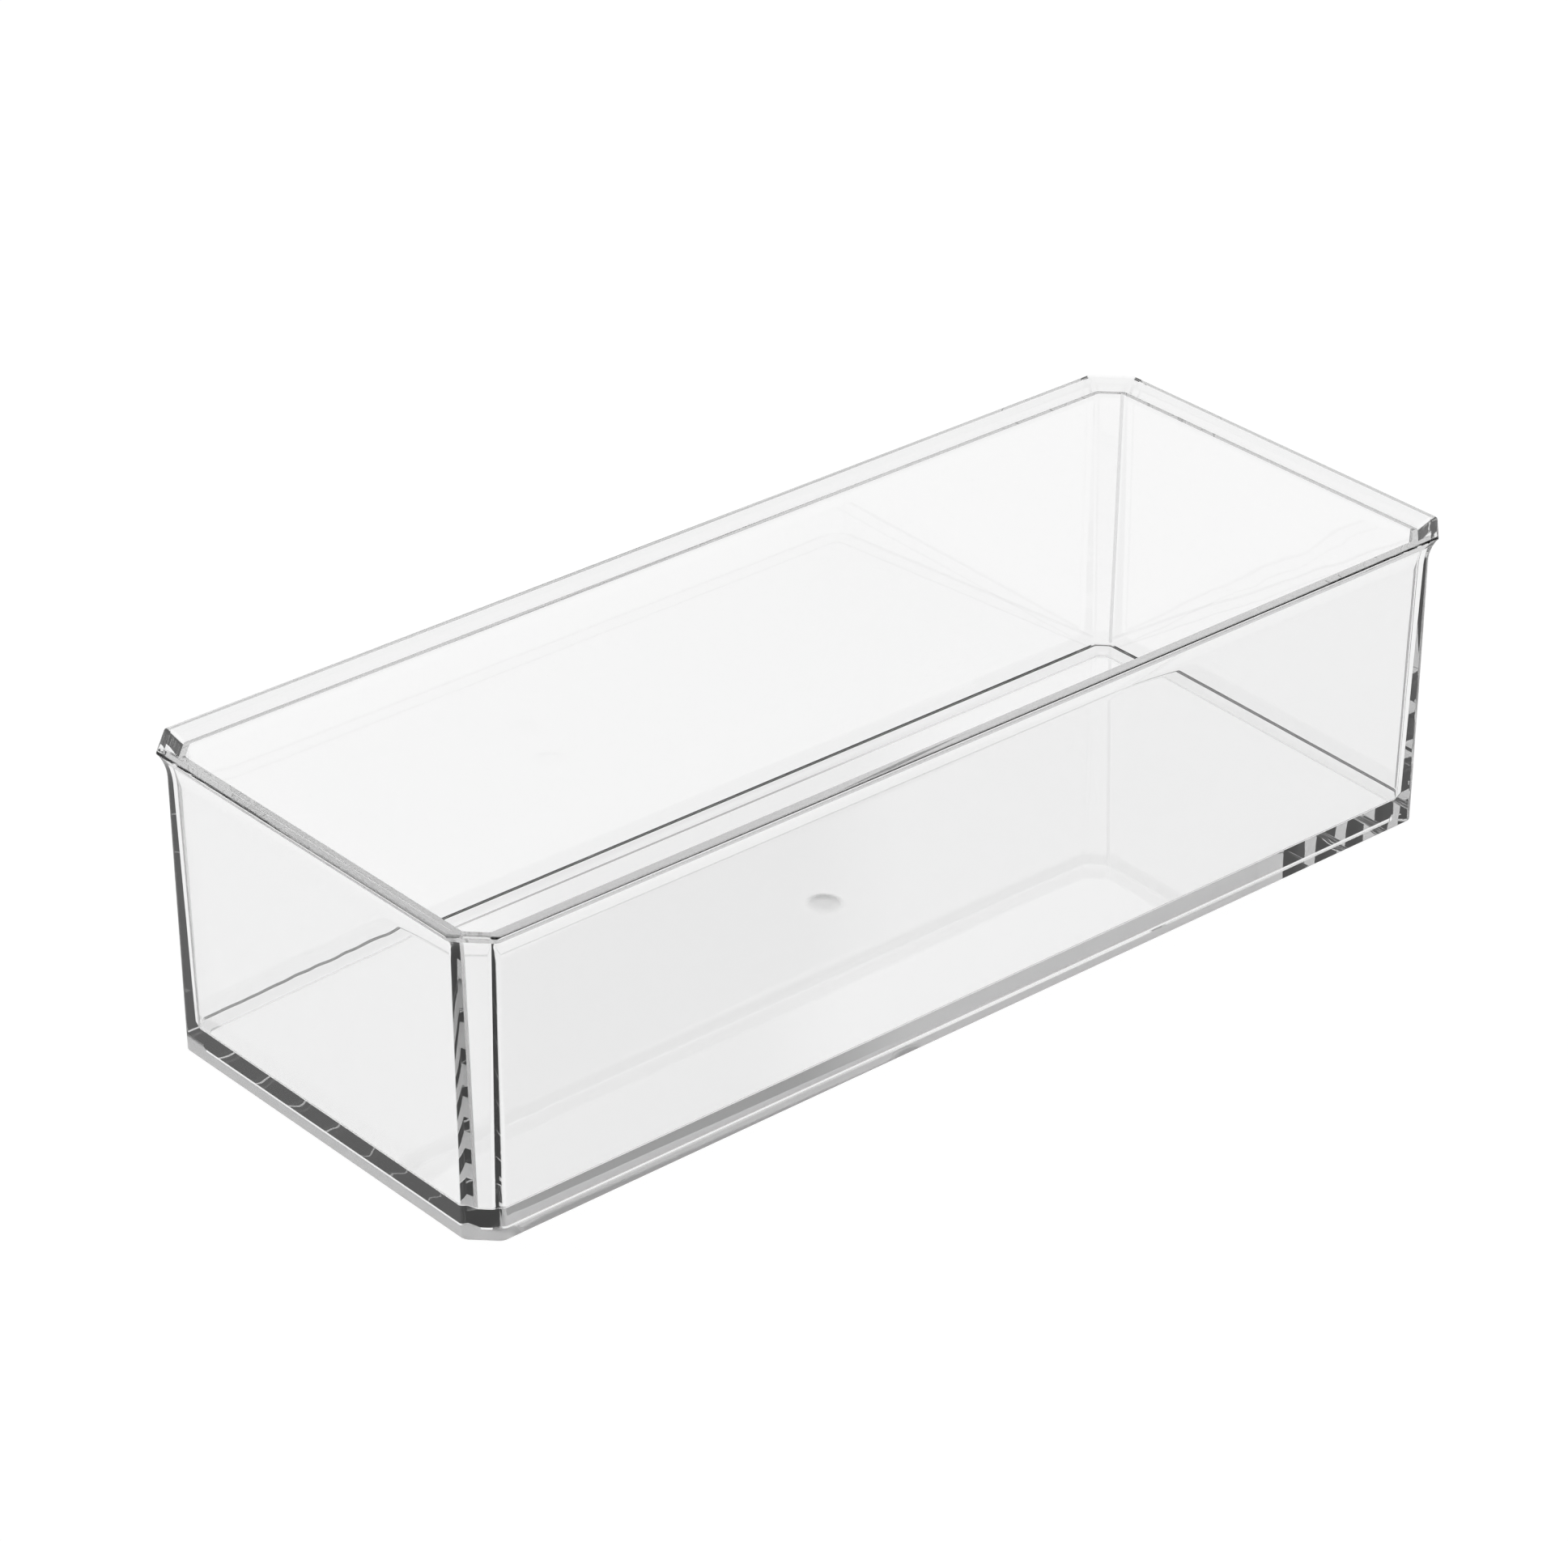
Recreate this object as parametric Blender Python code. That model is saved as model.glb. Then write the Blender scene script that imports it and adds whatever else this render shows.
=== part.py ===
"""Clear open-top tray that stands on a shelf and holds a row of tea bags.

The whole tray is one rigid moulding: four walls with clipped corners, a thick rim that flares
outwards, and a thick floor that stands on a broad, low foot ring. The floor carries a round mark
underneath, where the clear plastic was let into the mould.
"""

import math

import bmesh
import bpy

MM = 0.001

# Overall size, measured over the rim
LENGTH = 230.0 * MM
WIDTH = 92.5 * MM
HEIGHT = 60.0 * MM

# Plan of the tray: each corner is clipped at 45 degrees, and its upright edges are rounded
CORNER_CLIP = 6.0 * MM
OUTER_EDGE_RADIUS = 2.0 * MM
INNER_EDGE_RADIUS = 1.0 * MM
EDGE_STEPS = 4

# Walls: the outside leans in by the draft from rim to foot, and the walls thicken to the floor
WALL_DRAFT = 0.7 * MM
WALL_AT_RIM = 3.25 * MM
WALL_AT_FLOOR = 4.45 * MM

# Rim: the outside spreads out to it along a hollow curve, and its crown is flat at the outer edge
# and falls away inwards along a slightly hollow slope, to a narrow ledge at the inner edge
FLARE = 1.43 * MM
FLARE_HEIGHT = 5.2 * MM
FLARE_POWER = 2.27
FLARE_STEPS = 8
RIM_EDGE_RADIUS = 0.49 * MM
RIM_FLAT = 0.9 * MM
RIM_FALL = 1.95 * MM
CROWN_STEPS = 6
CROWN_HOLLOW_SHARE = 0.18
LEDGE_WIDTH = 1.05 * MM
LEDGE_STEP = 0.09 * MM
ROUND_STEPS = 4

# Floor, and the foot ring under its edge
FLOOR_THICKNESS = 4.0 * MM
FLOOR_FILLET = 0.6 * MM
FOOT_HEIGHT = 0.4 * MM
FOOT_WIDTH = 6.0 * MM
FOOT_EDGE_RADIUS = 0.2 * MM

# Gate mark under the middle of the floor: a shallow round hollow with a soft edge
GATE_RADIUS = 4.5 * MM
GATE_ROOF_RADIUS = 1.0 * MM
GATE_DEPTH = 0.24 * MM
GATE_STEPS = 6
GATE_POINTS = 32

SHARP_ANGLE = math.radians(30.0)
CLIP_TURN = math.radians(45.0)

# How much shorter the leg of a clipped corner gets for each unit that the outline moves in
CLIP_LOSS_SHARE = 2.0 - math.sqrt(2.0)


def clear_scene():
    """Start from an empty scene."""
    for item in list(bpy.data.objects):
        bpy.data.objects.remove(item, do_unlink=True)


def clear_plastic():
    """Colourless, glossy, rigid plastic."""
    material = bpy.data.materials.new("clear_plastic")
    material.use_nodes = True
    shader = material.node_tree.nodes["Principled BSDF"]
    shader.inputs["Base Color"].default_value = (0.96, 0.97, 0.97, 1.0)
    shader.inputs["Roughness"].default_value = 0.03
    shader.inputs["Metallic"].default_value = 0.0
    shader.inputs["IOR"].default_value = 1.59
    shader.inputs["Transmission Weight"].default_value = 1.0
    return material


def rounded_corner(corner, number, radius):
    """Arc that rounds one corner of the plan; number counts the corners anticlockwise from +X."""
    start = number * CLIP_TURN
    middle = start + CLIP_TURN / 2
    reach = radius / math.cos(CLIP_TURN / 2)
    centre_x = corner[0] - reach * math.cos(middle)
    centre_y = corner[1] - reach * math.sin(middle)
    arc = []
    for step in range(EDGE_STEPS + 1):
        angle = start + CLIP_TURN * step / EDGE_STEPS
        arc.append((centre_x + radius * math.cos(angle), centre_y + radius * math.sin(angle)))
    return arc


def plan(inset, radius):
    """Anticlockwise outline of the tray seen from above, moved in from the rim by inset."""
    half_x = LENGTH / 2 - inset
    half_y = WIDTH / 2 - inset
    leg = CORNER_CLIP - CLIP_LOSS_SHARE * inset
    corners = []
    for turn, (side_x, side_y) in enumerate([(1, 1), (-1, 1), (-1, -1), (1, -1)]):
        pair = [(side_x * half_x, side_y * (half_y - leg)), (side_x * (half_x - leg), side_y * half_y)]
        corners += pair if turn % 2 == 0 else reversed(pair)
    points = []
    for number, corner in enumerate(corners):
        points += rounded_corner(corner, number, radius)
    return points


def section_arc(centre, radius, start, end):
    """Points of an arc in the section, between two angles in quarter turns.

    The angle is 0 towards a larger inset and 1 straight up.
    """
    points = []
    for step in range(ROUND_STEPS + 1):
        angle = (start + (end - start) * step / ROUND_STEPS) * math.pi / 2
        points.append((centre[0] + radius * math.cos(angle), centre[1] + radius * math.sin(angle)))
    return points


def outer_inset(drop):
    """How far the outer face lies in from the rim, at this drop below the top."""
    below_edge = min(max((drop - RIM_EDGE_RADIUS) / FLARE_HEIGHT, 0), 1)
    return FLARE * (1 - (1 - below_edge) ** FLARE_POWER) + WALL_DRAFT * drop / HEIGHT


def crown():
    """Section of the rim's top, from the ledge at the inner edge up to the flat."""
    ledge_inset = FLARE + WALL_AT_RIM
    slope_inset = ledge_inset - LEDGE_WIDTH
    flat_inset = RIM_EDGE_RADIUS + RIM_FLAT
    points = [(ledge_inset, HEIGHT - RIM_FALL), (slope_inset, HEIGHT - RIM_FALL)]
    for step in range(CROWN_STEPS + 1):
        along = 1 - step / CROWN_STEPS
        fall = (RIM_FALL - LEDGE_STEP) * along * (1 - CROWN_HOLLOW_SHARE * (1 - along))
        points.append((flat_inset + (slope_inset - flat_inset) * along, HEIGHT - fall))
    return points


def inner_face():
    """Section of the inside as (inset, height), from the floor up to the flat of the rim."""
    floor_inset = outer_inset(HEIGHT) + WALL_AT_FLOOR
    fillet_centre = (floor_inset + FLOOR_FILLET, FOOT_HEIGHT + FLOOR_THICKNESS + FLOOR_FILLET)
    return section_arc(fillet_centre, FLOOR_FILLET, 3, 2) + crown()


def outer_face():
    """Section of the outside as (inset, height), from the rim's outer edge down to the foot."""
    edge_centre = (RIM_EDGE_RADIUS, HEIGHT - RIM_EDGE_RADIUS)
    points = section_arc(edge_centre, RIM_EDGE_RADIUS, 1, 2)
    for step in range(1, FLARE_STEPS + 1):
        drop = RIM_EDGE_RADIUS + FLARE_HEIGHT * step / FLARE_STEPS
        points.append((outer_inset(drop), HEIGHT - drop))
    foot_inset = outer_inset(HEIGHT)
    foot_centre = (foot_inset + FOOT_EDGE_RADIUS, FOOT_EDGE_RADIUS)
    points += section_arc(foot_centre, FOOT_EDGE_RADIUS, 2, 3)
    return points


def foot_hollow():
    """Section of the space under the floor, from the foot ring's inner edge up to the floor."""
    inset = outer_inset(HEIGHT) + FOOT_WIDTH
    return [(inset, 0), (inset, FOOT_HEIGHT)]


def add_loop(mesh, points, height):
    """One closed row of vertices at a height."""
    return [mesh.verts.new((x, y, height)) for x, y in points]


def join_loops(mesh, first, second):
    """Faces between two rows with the same number of vertices."""
    count = len(first)
    for place in range(count):
        after = (place + 1) % count
        mesh.faces.new([first[place], first[after], second[after], second[place]])


def loft(mesh, section, radius, last=None):
    """Rows of vertices along a section of (inset, height), each joined to the one before."""
    for inset, height in section:
        row = add_loop(mesh, plan(inset, radius), height)
        if last is not None:
            join_loops(mesh, last, row)
        last = row
    return last


def circle(radius):
    """Points of a circle round the middle of the tray."""
    turns = [2 * math.pi * step / GATE_POINTS for step in range(GATE_POINTS)]
    return [(radius * math.cos(turn), radius * math.sin(turn)) for turn in turns]


def fill_between(mesh, outer_row, inner_row):
    """Flat faces between a row and a smaller row inside it."""
    edges = []
    for row in (outer_row, inner_row):
        for place, vertex in enumerate(row):
            pair = (vertex, row[(place + 1) % len(row)])
            edges.append(mesh.edges.get(pair) or mesh.edges.new(pair))
    bmesh.ops.triangle_fill(mesh, use_beauty=True, use_dissolve=False, edges=edges)


def gate_mark(mesh, underside_row):
    """Close the underside round the gate mark, and make the mark itself."""
    row = add_loop(mesh, circle(GATE_RADIUS), FOOT_HEIGHT)
    fill_between(mesh, underside_row, row)
    for step in range(1, GATE_STEPS + 1):
        along = step / GATE_STEPS
        radius = GATE_RADIUS + (GATE_ROOF_RADIUS - GATE_RADIUS) * along
        rise = GATE_DEPTH * (1 - math.cos(math.pi * along)) / 2
        inner_row = add_loop(mesh, circle(radius), FOOT_HEIGHT + rise)
        join_loops(mesh, row, inner_row)
        row = inner_row
    mesh.faces.new(row)


def make_tray(material):
    """The tray: floor, inside, rim, outside, foot ring and underside as one closed body."""
    mesh = bmesh.new()
    inside = inner_face()
    floor_row = loft(mesh, inside[:1], INNER_EDGE_RADIUS)
    mesh.faces.new(floor_row)
    land_row = loft(mesh, inside[1:], INNER_EDGE_RADIUS, floor_row)
    foot_row = loft(mesh, outer_face(), OUTER_EDGE_RADIUS, land_row)
    underside_row = loft(mesh, foot_hollow(), INNER_EDGE_RADIUS, foot_row)
    gate_mark(mesh, underside_row)
    bmesh.ops.recalc_face_normals(mesh, faces=mesh.faces)
    data = bpy.data.meshes.new("tray")
    mesh.to_mesh(data)
    mesh.free()
    data.shade_smooth()
    data.set_sharp_from_angle(angle=SHARP_ANGLE)
    data.materials.append(material)
    tray = bpy.data.objects.new("tray", data)
    bpy.context.scene.collection.objects.link(tray)
    return tray


def main():
    clear_scene()
    make_tray(clear_plastic())


main()
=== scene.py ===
"""Looks of a clear plastic tea bag tray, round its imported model.

The tray is one clear moulding, so its look is what it bends and reflects: the pale ground seen
through walls and floor, with grey and dark lines where an edge leads the light elsewhere.
"""

import math

import bmesh
import bpy
from mathutils import Matrix, Vector


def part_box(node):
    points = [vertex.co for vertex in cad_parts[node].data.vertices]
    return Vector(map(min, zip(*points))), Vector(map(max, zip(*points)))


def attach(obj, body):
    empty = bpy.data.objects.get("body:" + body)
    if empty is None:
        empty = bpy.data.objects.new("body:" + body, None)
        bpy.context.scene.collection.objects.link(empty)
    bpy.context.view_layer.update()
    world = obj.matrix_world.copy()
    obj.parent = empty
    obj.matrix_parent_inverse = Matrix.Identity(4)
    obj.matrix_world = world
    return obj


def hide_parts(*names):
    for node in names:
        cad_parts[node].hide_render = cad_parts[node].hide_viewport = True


MM = 0.001
NODE = "tray"
BODY = "root"

# Plan and section of the tray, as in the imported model, with finer steps
CORNER_CLIP = 6.0 * MM
OUTER_EDGE_RADIUS = 2.0 * MM
INNER_EDGE_RADIUS = 1.0 * MM
EDGE_STEPS = 16
WALL_DRAFT = 0.7 * MM
WALL_AT_RIM = 3.25 * MM
WALL_AT_FLOOR = 4.45 * MM
FLARE = 1.43 * MM
FLARE_HEIGHT = 5.2 * MM
FLARE_POWER = 2.27
FLARE_STEPS = 16
RIM_EDGE_RADIUS = 0.49 * MM
RIM_FLAT = 0.9 * MM
RIM_FALL = 1.95 * MM
CROWN_STEPS = 20
CROWN_HOLLOW_SHARE = 0.18
LEDGE_WIDTH = 1.05 * MM
LEDGE_STEP = 0.09 * MM
FLOOR_THICKNESS = 4.0 * MM
FLOOR_FILLET = 0.6 * MM
FOOT_HEIGHT = 0.4 * MM
FOOT_WIDTH = 6.0 * MM
FOOT_EDGE_RADIUS = 0.2 * MM
ROUND_STEPS = 10
GATE_RADIUS = 4.5 * MM
GATE_ROOF_RADIUS = 1.0 * MM
GATE_DEPTH = 0.24 * MM
GATE_STEPS = 14
GATE_POINTS = 96
SHARP_ANGLE = math.radians(25.0)
CLIP_TURN = math.radians(45.0)

# How much shorter the leg of a clipped corner gets for each unit that the outline moves in
CLIP_LOSS_SHARE = 2.0 - math.sqrt(2.0)

# Matt lines. Inside, they are in the middle of the upright edges between the end walls and the
# clipped corners, and outside, along the scuffed bottom edge of one long wall. The corners of the
# plan count anticlockwise from +X
MATT_LAYER = "matt_edge"
MATT_CORNERS = (0, 3, 4, 7)
MATT_STEPS = range(1, EDGE_STEPS)
SCUFFED_CORNERS = (1, 2)
SCUFFED_STEPS = range(EDGE_STEPS + 1)
MATT_ROUGHNESS = 0.95

# Plastic, with long waves all over it, and short ripples near its ends
PLASTIC_IOR = 1.59
PLASTIC_TINT = (0.95, 0.95, 0.95, 1.0)
PLASTIC_SHADE = (0.0, 0.0, 0.0, 1.0)
SHADE_PER_METRE = 7.0
WAVE_LENGTH = 28.0 * MM
WAVE_HEIGHT = 0.010 * MM
WAVE_DETAIL = 1.0
RIPPLE_LENGTH = 10.0 * MM
RIPPLE_HEIGHT = 0.05 * MM
RIPPLE_DETAIL = 0.0
RIPPLES_FROM = 98.0 * MM
RIPPLES_FULL = 108.0 * MM
ROUGH_LOW = 0.0
ROUGH_HIGH = 0.012

# Matt places: the underside of the foot ring at one end, and the gate mark
FOOT_ROUGHNESS = 0.9
FOOT_MATT_HEIGHT = 0.025 * MM
FOOT_CLEAR_HEIGHT = 0.05 * MM
WEAR_FULL = -106.0 * MM
WEAR_NONE = -103.0 * MM
GATE_ROUGHNESS = 0.6
GATE_MATT_HEIGHT = FOOT_HEIGHT + 2 * GATE_DEPTH

# Camera, at the photograph's viewing angle
PHOTO_WIDTH = 1937
CAMERA_AZIMUTH = math.radians(-40.766)
CAMERA_ELEVATION = math.radians(29.133)
CAMERA_DISTANCE = 1.0241
CAMERA_TARGET = Vector((0.0048, 0.01579, 0.023))
FOCAL_PIXELS = 6941.5
SENSOR_WIDTH = 36.0

# Studio floor
FLOOR_RADIUS = 4.0
FLOOR_POINTS = 96
FLOOR_DROP = 0.2 * MM
FLOOR_COLOUR = 0.25
FLOOR_ROUGHNESS = 0.8
FLOOR_GLOW = 0.97
LIGHT_BOUNCES = 16

# Brightness of the surroundings, and the sines of the elevations at which it changes
HORIZON = 1.0
FRONT_GLOW = 0.02
FRONT_LOW = 0.06
FRONT_HIGH = 0.16
BACK_GLOW = 1.06
BACK_LOW = 0.1
BACK_FULL = 0.25
BACK_TOP = 0.6
BACK_END = 0.8
BACK_SIDES = 0.5

# Less bright gap in the backdrop, by the sine of the angle to the right of its middle
GAP_START = -0.07
GAP_END = 0.0
GAP_EDGE = 0.025
GAP_GLOW = 0.6

# Sockets of a colour mix, which share their names with others: factor, two colours, and result
MIX_FACTOR = 0
MIX_FIRST = 6
MIX_SECOND = 7
MIX_RESULT = 2

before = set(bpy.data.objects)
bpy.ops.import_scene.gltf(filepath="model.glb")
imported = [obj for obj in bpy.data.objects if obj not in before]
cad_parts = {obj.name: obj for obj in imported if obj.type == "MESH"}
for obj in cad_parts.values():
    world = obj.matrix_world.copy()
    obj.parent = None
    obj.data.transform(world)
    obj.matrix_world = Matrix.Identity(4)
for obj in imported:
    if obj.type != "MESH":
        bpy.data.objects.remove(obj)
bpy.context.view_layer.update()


def rounded_corner(corner, number, radius):
    """Arc that rounds one corner of the plan; number counts the corners anticlockwise from +X."""
    start = number * CLIP_TURN
    middle = start + CLIP_TURN / 2
    reach = radius / math.cos(CLIP_TURN / 2)
    centre = Vector(corner) - reach * Vector((math.cos(middle), math.sin(middle)))
    points = []
    for step in range(EDGE_STEPS + 1):
        angle = start + CLIP_TURN * step / EDGE_STEPS
        points.append(centre + radius * Vector((math.cos(angle), math.sin(angle))))
    return points


def plan(size, inset, radius):
    """Anticlockwise outline of the tray seen from above, moved in from the rim by inset."""
    half_x = size.x / 2 - inset
    half_y = size.y / 2 - inset
    leg = CORNER_CLIP - CLIP_LOSS_SHARE * inset
    corners = []
    for turn, (side_x, side_y) in enumerate([(1, 1), (-1, 1), (-1, -1), (1, -1)]):
        end_corner = (side_x * half_x, side_y * (half_y - leg))
        long_corner = (side_x * (half_x - leg), side_y * half_y)
        corners += [end_corner, long_corner] if turn % 2 == 0 else [long_corner, end_corner]
    points = []
    for number, corner in enumerate(corners):
        points += rounded_corner(corner, number, radius)
    return points


def outer_inset(drop, height):
    """How far the outer face lies in from the rim, at this drop below the top."""
    below_edge = min(max((drop - RIM_EDGE_RADIUS) / FLARE_HEIGHT, 0), 1)
    return FLARE * (1 - (1 - below_edge) ** FLARE_POWER) + WALL_DRAFT * drop / height


def rounded(before, corner, after, radius):
    """Points of the arc that rounds one corner of the section between its two neighbours."""
    corner = Vector(corner)
    first = (Vector(before) - corner).normalized()
    second = (Vector(after) - corner).normalized()
    half = first.angle(second) / 2
    centre = corner + (first + second).normalized() * radius / math.sin(half)
    start = corner + first * radius / math.tan(half) - centre
    finish = corner + second * radius / math.tan(half) - centre
    turn = math.atan2(start.x * finish.y - start.y * finish.x, start.dot(finish))
    points = []
    for step in range(ROUND_STEPS + 1):
        angle = turn * step / ROUND_STEPS
        spoke = Vector((
            start.x * math.cos(angle) - start.y * math.sin(angle),
            start.x * math.sin(angle) + start.y * math.cos(angle),
        ))
        points.append(tuple(centre + spoke))
    return points


def crown(height):
    """Top of the rim, from the narrow ledge at its inner edge up to the rounded outer edge."""
    ledge_inset = FLARE + WALL_AT_RIM
    ledge_height = height - RIM_FALL
    slope_inset = ledge_inset - LEDGE_WIDTH
    flat_inset = RIM_EDGE_RADIUS + RIM_FLAT
    fall = RIM_FALL - LEDGE_STEP
    points = [(ledge_inset, ledge_height), (slope_inset, ledge_height)]
    for step in range(CROWN_STEPS + 1):
        along = 1 - step / CROWN_STEPS
        drop = fall * along * (1 - CROWN_HOLLOW_SHARE + CROWN_HOLLOW_SHARE * along)
        points.append((flat_inset + (slope_inset - flat_inset) * along, height - drop))
    for step in range(1, ROUND_STEPS + 1):
        turn = math.pi / 2 * step / ROUND_STEPS
        across = RIM_EDGE_RADIUS * (1 - math.sin(turn))
        points.append((across, height - RIM_EDGE_RADIUS * (1 - math.cos(turn))))
    return points


def inner_face(height):
    """Section of the inside as (inset, height), from the floor up to the rim's outer edge."""
    floor_inset = outer_inset(height, height) + WALL_AT_FLOOR
    floor_top = FOOT_HEIGHT + FLOOR_THICKNESS
    middle = (2 * floor_inset, floor_top)
    corner = (floor_inset, floor_top)
    crown_inner = (FLARE + WALL_AT_RIM, height - RIM_FALL)
    return rounded(middle, corner, crown_inner, FLOOR_FILLET) + crown(height)


def outer_face(height):
    """Section of the outside as (inset, height), from below the rim's edge down to the foot."""
    points = []
    for step in range(1, FLARE_STEPS + 1):
        drop = RIM_EDGE_RADIUS + FLARE_HEIGHT * step / FLARE_STEPS
        points.append((outer_inset(drop, height), height - drop))
    foot_inset = outer_inset(height, height)
    above = (outer_inset(height / 2, height), height / 2)
    inside = (foot_inset + FOOT_WIDTH, 0.0)
    points += rounded(above, (foot_inset, 0.0), inside, FOOT_EDGE_RADIUS)
    return points


def add_loop(mesh, points, height):
    """One closed row of vertices at a height."""
    return [mesh.verts.new((x, y, height)) for x, y in points]


def join_loops(mesh, first, second):
    """Faces between two rows with the same number of vertices."""
    count = len(first)
    for place in range(count):
        after = (place + 1) % count
        mesh.faces.new([first[place], first[after], second[after], second[place]])


def mark_matt(row, layer, corners, steps):
    """Mark these steps of these corners of the plan as matt in one row."""
    for place, vertex in enumerate(row):
        number, step = divmod(place, EDGE_STEPS + 1)
        if number in corners and step in steps:
            vertex[layer] = 1.0


def loft(mesh, size, section, radius, last=None, matt=None):
    """Rows of vertices along a section of (inset, height), each joined to the one before."""
    for inset, height in section:
        row = add_loop(mesh, plan(size, inset, radius), height)
        if matt is not None:
            mark_matt(row, *matt)
        if last is not None:
            join_loops(mesh, last, row)
        last = row
    return last


def circle(radius):
    """Points of a circle round the middle of the tray."""
    turns = [2 * math.pi * step / GATE_POINTS for step in range(GATE_POINTS)]
    return [(radius * math.cos(turn), radius * math.sin(turn)) for turn in turns]


def fill_between(mesh, outer_row, inner_row):
    """Flat faces between a row and a smaller row inside it."""
    edges = []
    for row in (outer_row, inner_row):
        for place, vertex in enumerate(row):
            pair = (vertex, row[(place + 1) % len(row)])
            edges.append(mesh.edges.get(pair) or mesh.edges.new(pair))
    bmesh.ops.triangle_fill(mesh, use_beauty=True, use_dissolve=False, edges=edges)


def gate_mark(mesh, underside_row):
    """Close the underside round the gate mark, a shallow hollow with a soft edge."""
    row = add_loop(mesh, circle(GATE_RADIUS), FOOT_HEIGHT)
    fill_between(mesh, underside_row, row)
    for step in range(1, GATE_STEPS + 1):
        along = step / GATE_STEPS
        radius = GATE_RADIUS + (GATE_ROOF_RADIUS - GATE_RADIUS) * along
        rise = GATE_DEPTH * (1 - math.cos(math.pi * along)) / 2
        inner_row = add_loop(mesh, circle(radius), FOOT_HEIGHT + rise)
        join_loops(mesh, row, inner_row)
        row = inner_row
    mesh.faces.new(row)


def make_tray(material):
    """The whole moulding as one closed, finely stepped body in the node's own box."""
    low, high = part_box(NODE)
    size = high - low
    mesh = bmesh.new()
    matt = mesh.verts.layers.float.new(MATT_LAYER)
    inside = inner_face(size.z)
    wall_start = ROUND_STEPS
    wall_end = ROUND_STEPS + 2
    wall = inside[wall_start:wall_end]
    upright = (matt, MATT_CORNERS, MATT_STEPS)
    floor_row = loft(mesh, size, inside[:1], INNER_EDGE_RADIUS)
    mesh.faces.new(floor_row)
    fillet_row = loft(mesh, size, inside[1:wall_start], INNER_EDGE_RADIUS, floor_row)
    ledge_row = loft(mesh, size, wall, INNER_EDGE_RADIUS, fillet_row, upright)
    crown_row = loft(mesh, size, inside[wall_end:], INNER_EDGE_RADIUS, ledge_row)
    outside = outer_face(size.z)
    edge_start = len(outside) - ROUND_STEPS
    edge = outside[edge_start:-1]
    scuffed = (matt, SCUFFED_CORNERS, SCUFFED_STEPS)
    wall_row = loft(mesh, size, outside[:edge_start], OUTER_EDGE_RADIUS, crown_row)
    edge_row = loft(mesh, size, edge, OUTER_EDGE_RADIUS, wall_row, scuffed)
    foot_row = loft(mesh, size, outside[-1:], OUTER_EDGE_RADIUS, edge_row)
    hollow_inset = outer_inset(size.z, size.z) + FOOT_WIDTH
    hollow = [(hollow_inset, 0), (hollow_inset, FOOT_HEIGHT)]
    underside_row = loft(mesh, size, hollow, INNER_EDGE_RADIUS, foot_row)
    gate_mark(mesh, underside_row)
    bmesh.ops.recalc_face_normals(mesh, faces=mesh.faces)
    data = bpy.data.meshes.new("clear_moulding")
    mesh.to_mesh(data)
    mesh.free()
    data.shade_smooth()
    data.set_sharp_from_angle(angle=SHARP_ANGLE)
    data.materials.append(material)
    tray = bpy.data.objects.new("clear_moulding", data)
    tray.location = ((low.x + high.x) / 2, (low.y + high.y) / 2, low.z)
    bpy.context.scene.collection.objects.link(tray)
    flat = tray.modifiers.new("flat_faces", "WEIGHTED_NORMAL")
    flat.mode = "FACE_AREA"
    flat.keep_sharp = True
    return tray


def new_material(name):
    """An empty node material, and its shader."""
    material = bpy.data.materials.new(name)
    material.use_nodes = True
    return material, material.node_tree.nodes["Principled BSDF"]


def math_node(nodes, links, operation, first, second=None):
    """Result of a calculation with one linked value, or two."""
    node = nodes.new("ShaderNodeMath")
    node.operation = operation
    links.new(first, node.inputs[0])
    if second is not None:
        links.new(second, node.inputs[1])
    return node.outputs["Value"]


def map_range(nodes, links, value, source, target, kind="LINEAR"):
    """A value taken from one range to another."""
    node = nodes.new("ShaderNodeMapRange")
    node.interpolation_type = kind
    node.inputs["From Min"].default_value = source[0]
    node.inputs["From Max"].default_value = source[1]
    node.inputs["To Min"].default_value = target[0]
    node.inputs["To Max"].default_value = target[1]
    links.new(value, node.inputs["Value"])
    return node.outputs["Result"]


def soft_step(nodes, links, value, start, end):
    """Smooth rise from 0 at start to 1 at end."""
    return map_range(nodes, links, value, (start, end), (0.0, 1.0), "SMOOTHSTEP")


def noise(nodes, links, place, length, detail):
    """Soft noise with this wave length."""
    node = nodes.new("ShaderNodeTexNoise")
    node.inputs["Scale"].default_value = 1 / length
    node.inputs["Detail"].default_value = detail
    links.new(place, node.inputs["Vector"])
    return node.outputs["Fac"]


def bump(nodes, links, height, distance, below=None):
    """Surface direction of a bump, on top of another one."""
    node = nodes.new("ShaderNodeBump")
    node.inputs["Strength"].default_value = 1.0
    node.inputs["Distance"].default_value = distance
    links.new(height, node.inputs["Height"])
    if below is not None:
        links.new(below, node.inputs["Normal"])
    return node.outputs["Normal"]


def worn_foot(nodes, links, x, z):
    """Roughness of the underside of the foot ring, at one end of the tray."""
    heights = (FOOT_MATT_HEIGHT, FOOT_CLEAR_HEIGHT)
    foot = map_range(nodes, links, z, heights, (FOOT_ROUGHNESS, 0.0))
    wear = map_range(nodes, links, x, (WEAR_FULL, WEAR_NONE), (1.0, 0.0))
    return math_node(nodes, links, "MULTIPLY", foot, wear)


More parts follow.
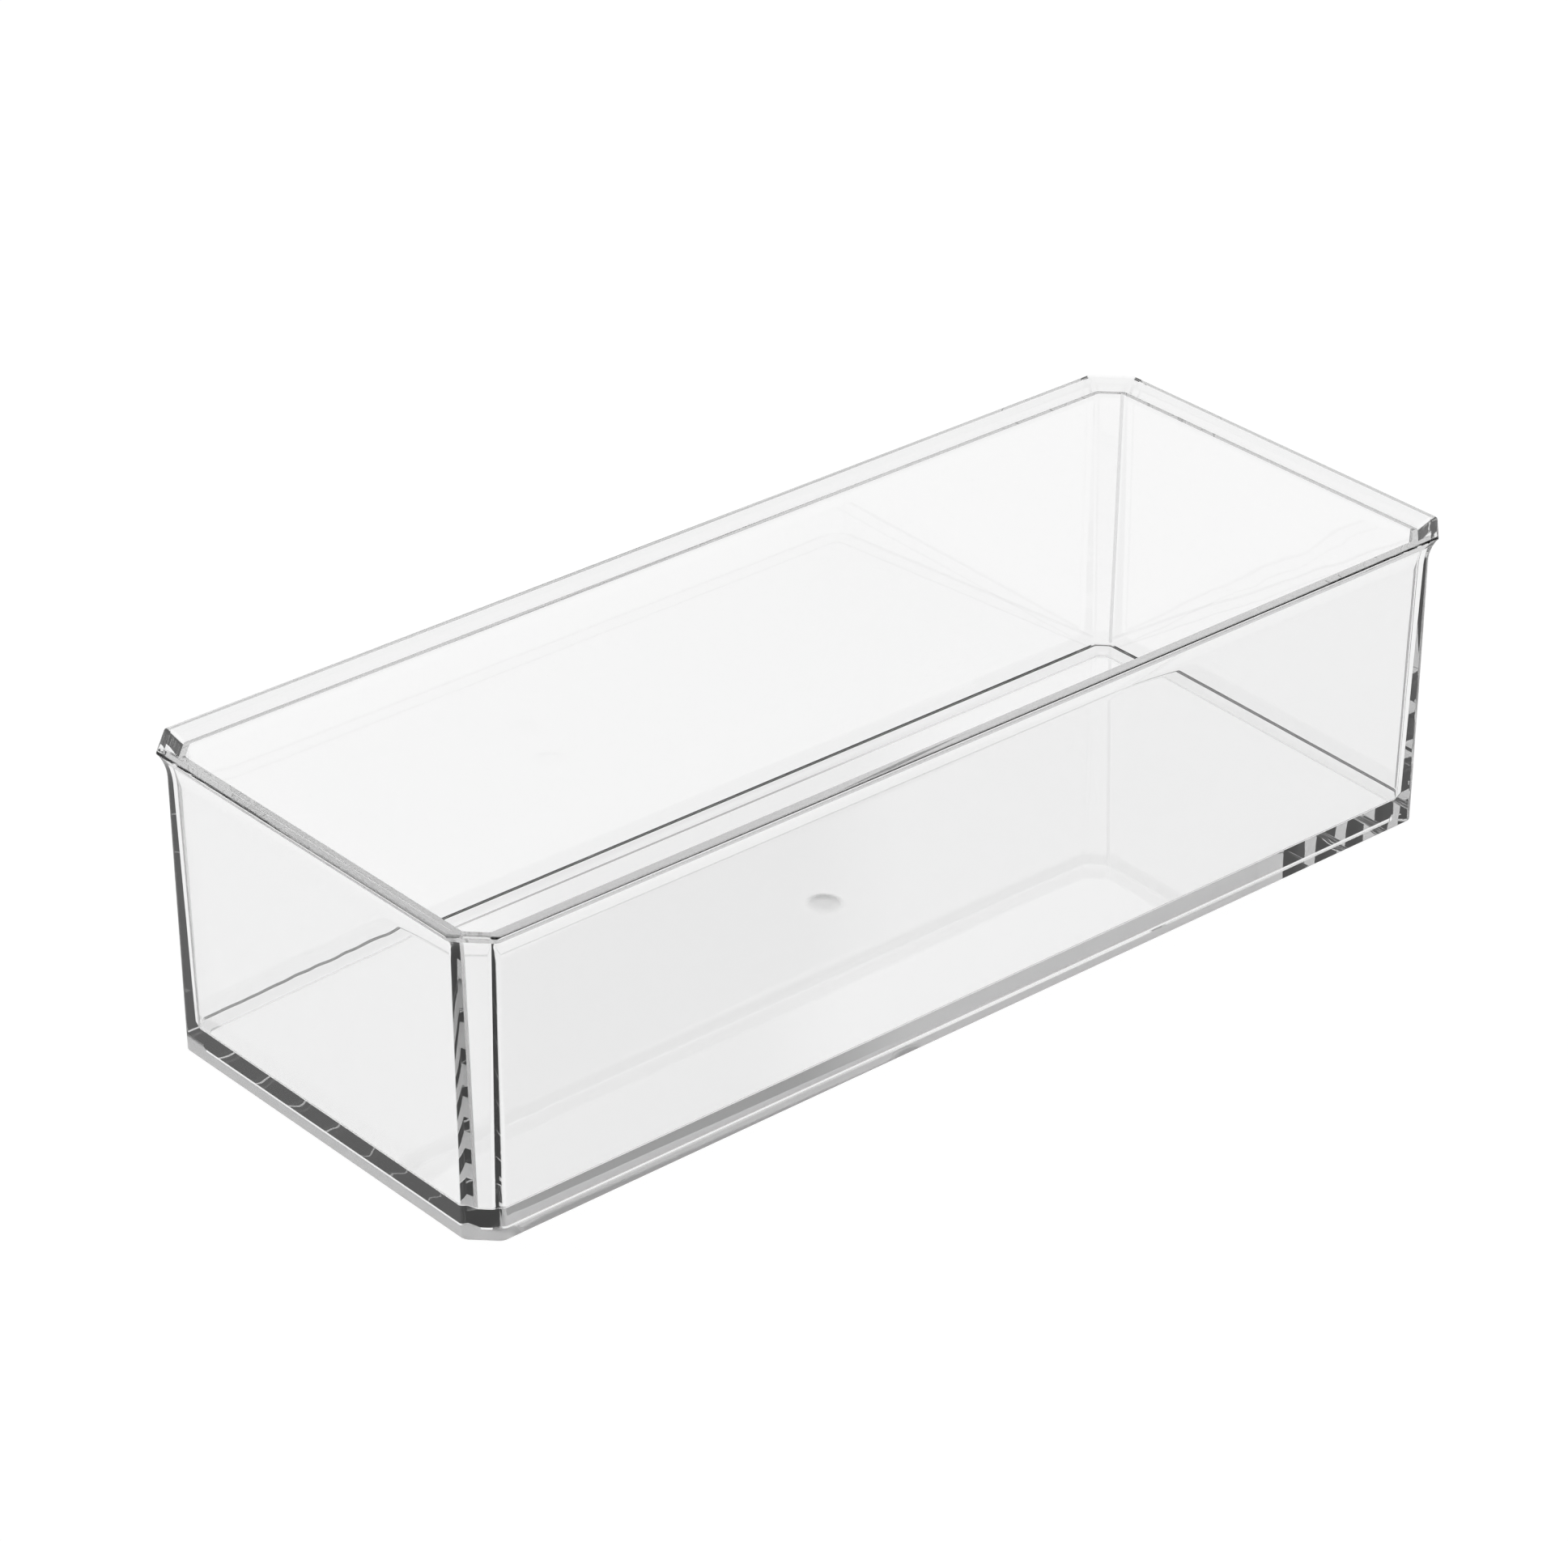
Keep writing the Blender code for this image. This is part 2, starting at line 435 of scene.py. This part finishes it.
def gate_haze(nodes, links, place, z):
    """Roughness of the gate mark, which fades out to its edge."""
    flat = nodes.new("ShaderNodeVectorMath")
    flat.operation = "MULTIPLY"
    flat.inputs[1].default_value = (1.0, 1.0, 0.0)
    links.new(place, flat.inputs[0])
    reach = nodes.new("ShaderNodeVectorMath")
    reach.operation = "LENGTH"
    links.new(flat.outputs["Vector"], reach.inputs[0])
    radii = (GATE_ROOF_RADIUS, GATE_RADIUS)
    spot = map_range(nodes, links, reach.outputs["Value"], radii, (GATE_ROUGHNESS, 0.0))
    under = nodes.new("ShaderNodeMath")
    under.operation = "LESS_THAN"
    under.inputs[1].default_value = GATE_MATT_HEIGHT
    links.new(z, under.inputs[0])
    return math_node(nodes, links, "MULTIPLY", spot, under.outputs["Value"])


def edge_haze(nodes, links):
    """Roughness of the matt lines that the mesh marks."""
    edge = nodes.new("ShaderNodeAttribute")
    edge.attribute_name = MATT_LAYER
    haze = nodes.new("ShaderNodeMath")
    haze.operation = "MULTIPLY"
    haze.inputs[1].default_value = MATT_ROUGHNESS
    links.new(edge.outputs["Fac"], haze.inputs[0])
    return haze.outputs["Value"]


def clear_plastic():
    """Polished clear plastic with the faint long waves and haze of a moulded surface."""
    material, shader = new_material("clear_plastic")
    nodes = material.node_tree.nodes
    links = material.node_tree.links
    shader.inputs["Base Color"].default_value = PLASTIC_TINT
    shader.inputs["IOR"].default_value = PLASTIC_IOR
    shader.inputs["Transmission Weight"].default_value = 1.0
    place = nodes.new("ShaderNodeTexCoord").outputs["Object"]
    split = nodes.new("ShaderNodeSeparateXYZ")
    links.new(place, split.inputs[0])
    x = split.outputs["X"]
    z = split.outputs["Z"]
    waves = noise(nodes, links, place, WAVE_LENGTH, WAVE_DETAIL)
    ripples = noise(nodes, links, place, RIPPLE_LENGTH, RIPPLE_DETAIL)
    off_middle = math_node(nodes, links, "ABSOLUTE", x)
    at_end = soft_step(nodes, links, off_middle, RIPPLES_FROM, RIPPLES_FULL)
    end_ripples = math_node(nodes, links, "MULTIPLY", ripples, at_end)
    wavy = bump(nodes, links, waves, WAVE_HEIGHT)
    links.new(bump(nodes, links, end_ripples, RIPPLE_HEIGHT, wavy), shader.inputs["Normal"])
    rough = map_range(nodes, links, waves, (0.0, 1.0), (ROUGH_LOW, ROUGH_HIGH))
    foot = worn_foot(nodes, links, x, z)
    gate = gate_haze(nodes, links, place, z)
    edges = edge_haze(nodes, links)
    for mark in (foot, gate, edges):
        rough = math_node(nodes, links, "MAXIMUM", rough, mark)
    links.new(rough, shader.inputs["Roughness"])
    shade = nodes.new("ShaderNodeVolumeAbsorption")
    shade.inputs["Color"].default_value = PLASTIC_SHADE
    shade.inputs["Density"].default_value = SHADE_PER_METRE
    links.new(shade.outputs["Volume"], nodes["Material Output"].inputs["Volume"])
    return material


def make_camera():
    """Camera at the photograph's viewing angle."""
    data = bpy.data.cameras.new("camera")
    data.sensor_width = SENSOR_WIDTH
    data.lens = FOCAL_PIXELS / PHOTO_WIDTH * SENSOR_WIDTH
    camera = bpy.data.objects.new("camera", data)
    bpy.context.scene.collection.objects.link(camera)
    back = Vector((
        math.sin(CAMERA_AZIMUTH) * math.cos(CAMERA_ELEVATION),
        -math.cos(CAMERA_AZIMUTH) * math.cos(CAMERA_ELEVATION),
        math.sin(CAMERA_ELEVATION),
    ))
    right = Vector((math.cos(CAMERA_AZIMUTH), math.sin(CAMERA_AZIMUTH), 0))
    pose = Matrix((right, back.cross(right), back)).transposed().to_4x4()
    pose.translation = CAMERA_TARGET + back * CAMERA_DISTANCE
    camera.matrix_world = pose
    bpy.context.scene.camera = camera


def make_floor():
    """Plain white ground that glows evenly, as a lit table does."""
    material, shader = new_material("studio_floor")
    shader.inputs["Base Color"].default_value = (FLOOR_COLOUR, FLOOR_COLOUR, FLOOR_COLOUR, 1)
    shader.inputs["Roughness"].default_value = FLOOR_ROUGHNESS
    shader.inputs["Specular IOR Level"].default_value = 0.0
    shader.inputs["Emission Color"].default_value = (1, 1, 1, 1)
    shader.inputs["Emission Strength"].default_value = FLOOR_GLOW
    mesh = bmesh.new()
    bmesh.ops.create_circle(mesh, cap_ends=True, radius=FLOOR_RADIUS, segments=FLOOR_POINTS)
    data = bpy.data.meshes.new("studio_floor")
    mesh.to_mesh(data)
    mesh.free()
    data.materials.append(material)
    floor = bpy.data.objects.new("studio_floor", data)
    floor.location.z = -FLOOR_DROP
    bpy.context.scene.collection.objects.link(floor)


def ramp(nodes, links, height, stops):
    """Brightness by height, from stops of (sine of the elevation, value)."""
    node = nodes.new("ShaderNodeValToRGB")
    elements = node.color_ramp.elements
    elements.remove(elements[1])
    elements[0].position = (stops[0][0] + 1) / 2
    elements[0].color = (stops[0][1], stops[0][1], stops[0][1], 1)
    for sine, value in stops[1:]:
        element = elements.new((sine + 1) / 2)
        element.color = (value, value, value, 1)
    links.new(height, node.inputs["Fac"])
    return node.outputs["Color"]


def sine_towards(nodes, links, place, direction):
    """How far each direction of the surroundings points towards a level direction."""
    node = nodes.new("ShaderNodeVectorMath")
    node.operation = "DOT_PRODUCT"
    node.inputs[1].default_value = (direction[0], direction[1], 0)
    links.new(place, node.inputs[0])
    return node.outputs["Value"]


def backdrop_gap(nodes, links, across):
    """Share of the backdrop's brightness, less in a soft upright gap."""
    gap_start = soft_step(nodes, links, across, GAP_START, GAP_START + GAP_EDGE)
    gap_end = soft_step(nodes, links, across, GAP_END + GAP_EDGE, GAP_END)
    gap = math_node(nodes, links, "MULTIPLY", gap_start, gap_end)
    return map_range(nodes, links, gap, (0.0, 1.0), (1.0, GAP_GLOW))


def make_surroundings():
    """White round the horizon and dark above, with a soft pale backdrop behind the tray."""
    world = bpy.data.worlds.new("studio")
    bpy.context.scene.world = world
    world.use_nodes = True
    nodes = world.node_tree.nodes
    links = world.node_tree.links
    place = nodes.new("ShaderNodeTexCoord").outputs["Generated"]
    split = nodes.new("ShaderNodeSeparateXYZ")
    links.new(place, split.inputs[0])
    height = map_range(nodes, links, split.outputs["Z"], (-1.0, 1.0), (0.0, 1.0))
    front_stops = [(-1, HORIZON), (FRONT_LOW, HORIZON), (FRONT_HIGH, FRONT_GLOW), (1, FRONT_GLOW)]
    back_stops = [
        (-1, HORIZON),
        (BACK_LOW, HORIZON),
        (BACK_FULL, BACK_GLOW),
        (BACK_TOP, BACK_GLOW),
        (BACK_END, FRONT_GLOW),
        (1, FRONT_GLOW),
    ]
    front = ramp(nodes, links, height, front_stops)
    back = ramp(nodes, links, height, back_stops)
    behind = (-math.sin(CAMERA_AZIMUTH), math.cos(CAMERA_AZIMUTH))
    right = (math.cos(CAMERA_AZIMUTH), math.sin(CAMERA_AZIMUTH))
    away = sine_towards(nodes, links, place, behind)
    across = sine_towards(nodes, links, place, right)
    backdrop = nodes.new("ShaderNodeVectorMath")
    backdrop.operation = "SCALE"
    links.new(back, backdrop.inputs[0])
    links.new(backdrop_gap(nodes, links, across), backdrop.inputs["Scale"])
    mix = nodes.new("ShaderNodeMix")
    mix.data_type = "RGBA"
    links.new(soft_step(nodes, links, away, 0.0, BACK_SIDES), mix.inputs[MIX_FACTOR])
    links.new(front, mix.inputs[MIX_FIRST])
    links.new(backdrop.outputs["Vector"], mix.inputs[MIX_SECOND])
    links.new(mix.outputs[MIX_RESULT], nodes["Background"].inputs["Color"])


def set_exposure():
    """Plain display colours, and enough bounces for light that is led along the plastic."""
    scene = bpy.context.scene
    scene.view_settings.view_transform = "Standard"
    scene.cycles.max_bounces = LIGHT_BOUNCES
    scene.cycles.transmission_bounces = LIGHT_BOUNCES
    scene.cycles.glossy_bounces = LIGHT_BOUNCES


make_camera()
tray = make_tray(clear_plastic())
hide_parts(NODE)
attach(tray, BODY)
make_floor()
make_surroundings()
set_exposure()
